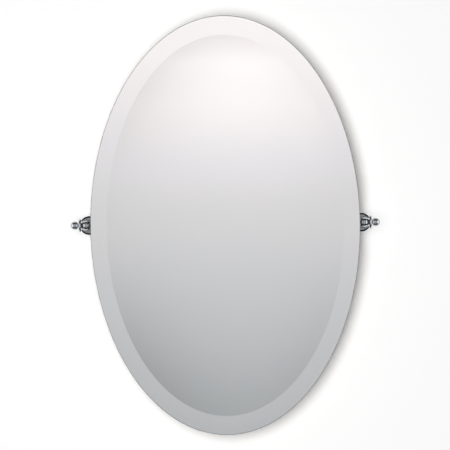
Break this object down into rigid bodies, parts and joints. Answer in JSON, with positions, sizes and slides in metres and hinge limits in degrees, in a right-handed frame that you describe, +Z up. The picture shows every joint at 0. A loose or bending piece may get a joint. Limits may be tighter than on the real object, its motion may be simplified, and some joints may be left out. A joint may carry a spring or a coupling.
{
  "type": "pivot wall mirror",
  "caption": "Oval frameless bevelled wall mirror that tilts between two turned posts, each with a round wall flange and a ball finial that clamps the pivot.",
  "frame": {"origin": "on the wall plane, midway between the two posts and level with the pivot axis: the centre of the pattern of the four wall screws", "axes": "+X to the viewer's right along the pivot axis, +Y into the wall, +Z up; the mirror faces -Y"},
  "size_m": [0.5456, 0.0815, 0.737],
  "materials": {
    "glass": "clear, polished",
    "silvering": "silvered",
    "foam_tape": "soft foam",
    "board": "sanded fibreboard",
    "bumper": "soft, translucent",
    "zinc_plated_steel": "bright zinc plating",
    "black_steel": "black oxide",
    "chrome": "polished plating",
    "nylon": "matte"
  },
  "bodies": {
    "wall_mounts": {"wall_plate_left": "zinc_plated_steel", "wall_plate_right": "zinc_plated_steel", "flange_left": "chrome", "flange_right": "chrome", "post_left": "chrome", "post_right": "chrome", "post_screw_left": "zinc_plated_steel", "post_screw_right": "zinc_plated_steel", "spring_washer_left": "zinc_plated_steel", "spring_washer_right": "zinc_plated_steel", "set_screw_left": "black_steel", "set_screw_right": "black_steel", "inner_washer_left": "nylon", "inner_washer_right": "nylon", "outer_washer_left": "nylon", "outer_washer_right": "nylon"},
    "mirror": {"mirror_glass": "glass", "silvering": "silvering", "mounting_tape": "foam_tape", "backing_board": "board", "wall_bumpers": "bumper", "bracket_left": "zinc_plated_steel", "bracket_right": "zinc_plated_steel", "weld_nut_left": "zinc_plated_steel", "weld_nut_right": "zinc_plated_steel", "bracket_screws_left": "zinc_plated_steel", "bracket_screws_right": "zinc_plated_steel"},
    "finial_left": {"pivot_stud_left": "zinc_plated_steel", "finial_left": "chrome"},
    "finial_right": {"pivot_stud_right": "zinc_plated_steel", "finial_right": "chrome"}
  },
  "joints": [
    {"name": "mirror_tilt", "type": "hinge", "parent": "wall_mounts", "child": "mirror", "pos_m": [0, -0.068, 0], "axis": [1, 0, 0], "range_deg": [-10, 10]},
    {"name": "finial_left_turn", "type": "hinge", "parent": "mirror", "child": "finial_left", "pos_m": [-0.245, -0.068, 0], "axis": [-1, 0, 0], "range_deg": [0, 360]},
    {"name": "finial_right_turn", "type": "hinge", "parent": "mirror", "child": "finial_right", "pos_m": [0.245, -0.068, 0], "axis": [1, 0, 0], "range_deg": [0, 360]}
  ]
}
